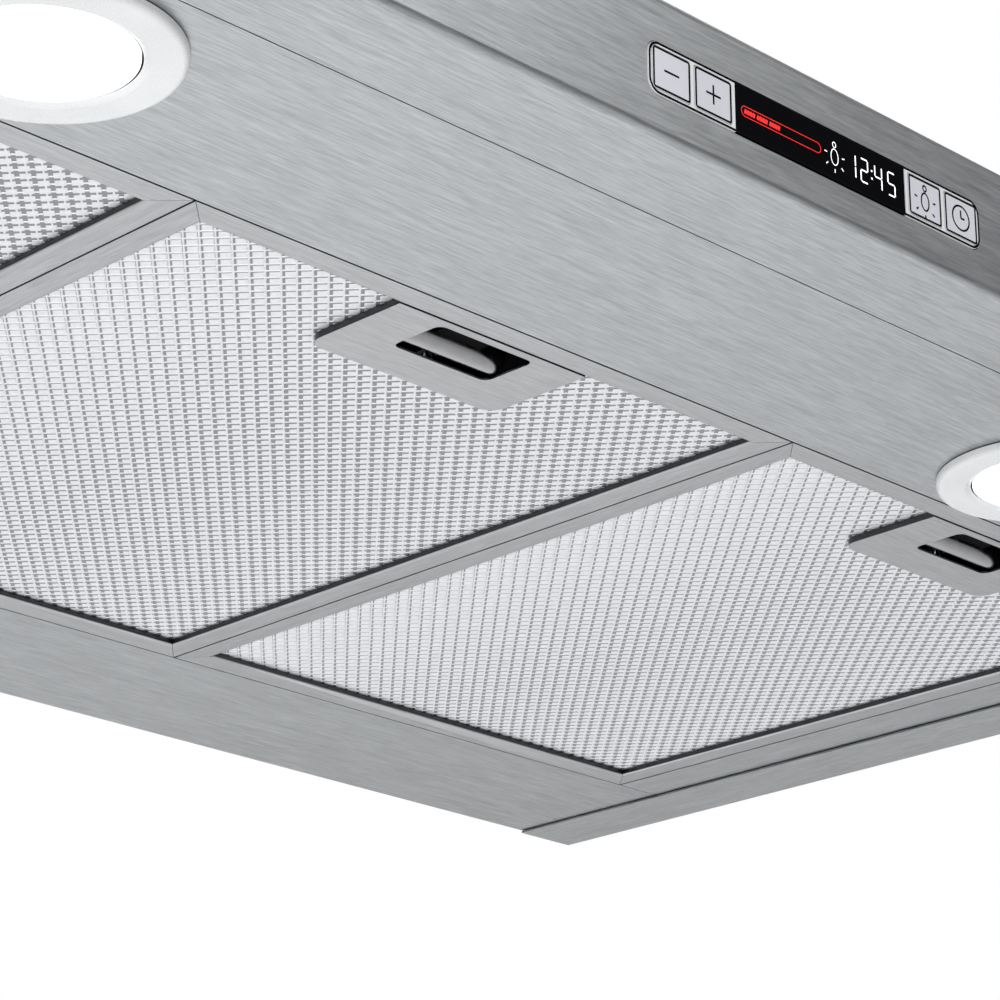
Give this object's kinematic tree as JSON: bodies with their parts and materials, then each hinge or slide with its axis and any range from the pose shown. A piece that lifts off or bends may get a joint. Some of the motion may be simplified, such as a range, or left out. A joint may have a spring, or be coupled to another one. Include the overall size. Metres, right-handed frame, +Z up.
{
  "type": "under cabinet range hood",
  "caption": "Under cabinet range hood in brushed steel: slim fascia with keys and display, swing-down mesh filters with latches, round lamps, centrifugal blower and rectangular duct collar.",
  "frame": {"origin": "on the top panel's upper face, on the centre plane, midway between the two rear cabinet screws", "axes": "+X to the right as seen from the front, +Y back towards the wall, +Z up"},
  "size_m": [0.911, 0.5426, 0.2762],
  "materials": {
    "brushed_steel": "brushed along the width",
    "filter_steel": "brushed along the width",
    "mesh_aluminium": "bright expanded mesh",
    "latch_metal": "satin",
    "spring_wire": "bright zinc",
    "white_plastic": "gloss",
    "diffuser": "smooth white, lit",
    "can_aluminium": "satin",
    "galvanised": "galvanised sheet",
    "wheel_plastic": "moulded",
    "bezel_white": "satin",
    "key_grey": "satin, thin black outlines",
    "display_black": "gloss",
    "board_green": "solder mask",
    "cover_grey": "moulded",
    "motor_paint": "satin"
  },
  "bodies": {
    "root": {"front_fascia": "brushed_steel", "canopy_panel": "brushed_steel", "back_panel": "brushed_steel", "left_side_panel": "brushed_steel", "right_side_panel": "brushed_steel", "lamp_panel": "brushed_steel", "rear_plate": "brushed_steel", "left_side_plate": "brushed_steel", "right_side_plate": "brushed_steel", "left_lamp_ring": "white_plastic", "left_lamp_lens": "diffuser", "left_lamp_can": "can_aluminium", "left_scroll_cheek": "galvanised", "right_lamp_ring": "white_plastic", "right_lamp_lens": "diffuser", "right_lamp_can": "can_aluminium", "right_scroll_cheek": "galvanised", "control_bezel": "bezel_white", "display_window": "display_black", "control_board": "board_green", "control_cover": "cover_grey", "scroll_wrap": "galvanised", "fan_motor": "motor_paint", "motor_bracket": "galvanised", "blower_screw_1": "spring_wire", "blower_screw_2": "spring_wire", "blower_screw_3": "spring_wire", "blower_screw_4": "spring_wire", "duct_collar": "galvanised", "damper_pin": "spring_wire", "wiring_box": "galvanised", "wiring_cover": "galvanised", "terminal_block": "white_plastic", "cable_bushing": "cover_grey", "lamp_driver": "white_plastic", "motor_capacitor": "can_aluminium"},
    "left_filter": {"left_filter_frame": "filter_steel", "left_filter_mesh": "mesh_aluminium", "left_latch_plate": "filter_steel", "left_latch_spring": "spring_wire"},
    "left_latch": {"left_latch_bolt": "latch_metal"},
    "middle_filter": {"middle_filter_frame": "filter_steel", "middle_filter_mesh": "mesh_aluminium", "middle_latch_plate": "filter_steel", "middle_latch_spring": "spring_wire"},
    "middle_latch": {"middle_latch_bolt": "latch_metal"},
    "right_filter": {"right_filter_frame": "filter_steel", "right_filter_mesh": "mesh_aluminium", "right_latch_plate": "filter_steel", "right_latch_spring": "spring_wire"},
    "right_latch": {"right_latch_bolt": "latch_metal"},
    "minus_key_body": {"minus_key": "key_grey"},
    "plus_key_body": {"plus_key": "key_grey"},
    "light_key_body": {"light_key": "key_grey"},
    "timer_key_body": {"timer_key": "key_grey"},
    "fan": {"motor_shaft": "spring_wire", "left_fan_wheel": "wheel_plastic", "right_fan_wheel": "wheel_plastic"},
    "damper": {"damper_flap": "galvanised"}
  },
  "joints": [
    {"name": "left_filter_swing", "type": "hinge", "parent": "root", "child": "left_filter", "pos_m": [-0.2659, -0.0632, -0.2277], "axis": [1, 0, 0], "range_deg": [0, 80]},
    {"name": "left_latch_slide", "type": "slide", "parent": "left_filter", "child": "left_latch", "axis": [0, 1, 0], "range_m": [0, 0.005], "stiffness_N_per_m": 400, "deforming": ["left_latch_spring"]},
    {"name": "middle_filter_swing", "type": "hinge", "parent": "root", "child": "middle_filter", "pos_m": [0, -0.0632, -0.2277], "axis": [1, 0, 0], "range_deg": [0, 80]},
    {"name": "middle_latch_slide", "type": "slide", "parent": "middle_filter", "child": "middle_latch", "axis": [0, 1, 0], "range_m": [0, 0.005], "stiffness_N_per_m": 400, "deforming": ["middle_latch_spring"]},
    {"name": "right_filter_swing", "type": "hinge", "parent": "root", "child": "right_filter", "pos_m": [0.2659, -0.0632, -0.2277], "axis": [1, 0, 0], "range_deg": [0, 80]},
    {"name": "right_latch_slide", "type": "slide", "parent": "right_filter", "child": "right_latch", "axis": [0, 1, 0], "range_m": [0, 0.005], "stiffness_N_per_m": 400, "deforming": ["right_latch_spring"]},
    {"name": "minus_key_press", "type": "slide", "parent": "root", "child": "minus_key_body", "axis": [0, 1, 0], "range_m": [0, 0.0008], "stiffness_N_per_m": 1500},
    {"name": "plus_key_press", "type": "slide", "parent": "root", "child": "plus_key_body", "axis": [0, 1, 0], "range_m": [0, 0.0008], "stiffness_N_per_m": 1500},
    {"name": "light_key_press", "type": "slide", "parent": "root", "child": "light_key_body", "axis": [0, 1, 0], "range_m": [0, 0.0008], "stiffness_N_per_m": 1500},
    {"name": "timer_key_press", "type": "slide", "parent": "root", "child": "timer_key_body", "axis": [0, 1, 0], "range_m": [0, 0.0008], "stiffness_N_per_m": 1500},
    {"name": "fan_spin", "type": "hinge", "parent": "root", "child": "fan", "pos_m": [0, -0.1335, -0.115], "axis": [1, 0, 0], "continuous": true},
    {"name": "damper_swing", "type": "hinge", "parent": "root", "child": "damper", "pos_m": [0, -0.0375, 0.01], "axis": [-1, 0, 0], "range_deg": [0, 75]}
  ]
}
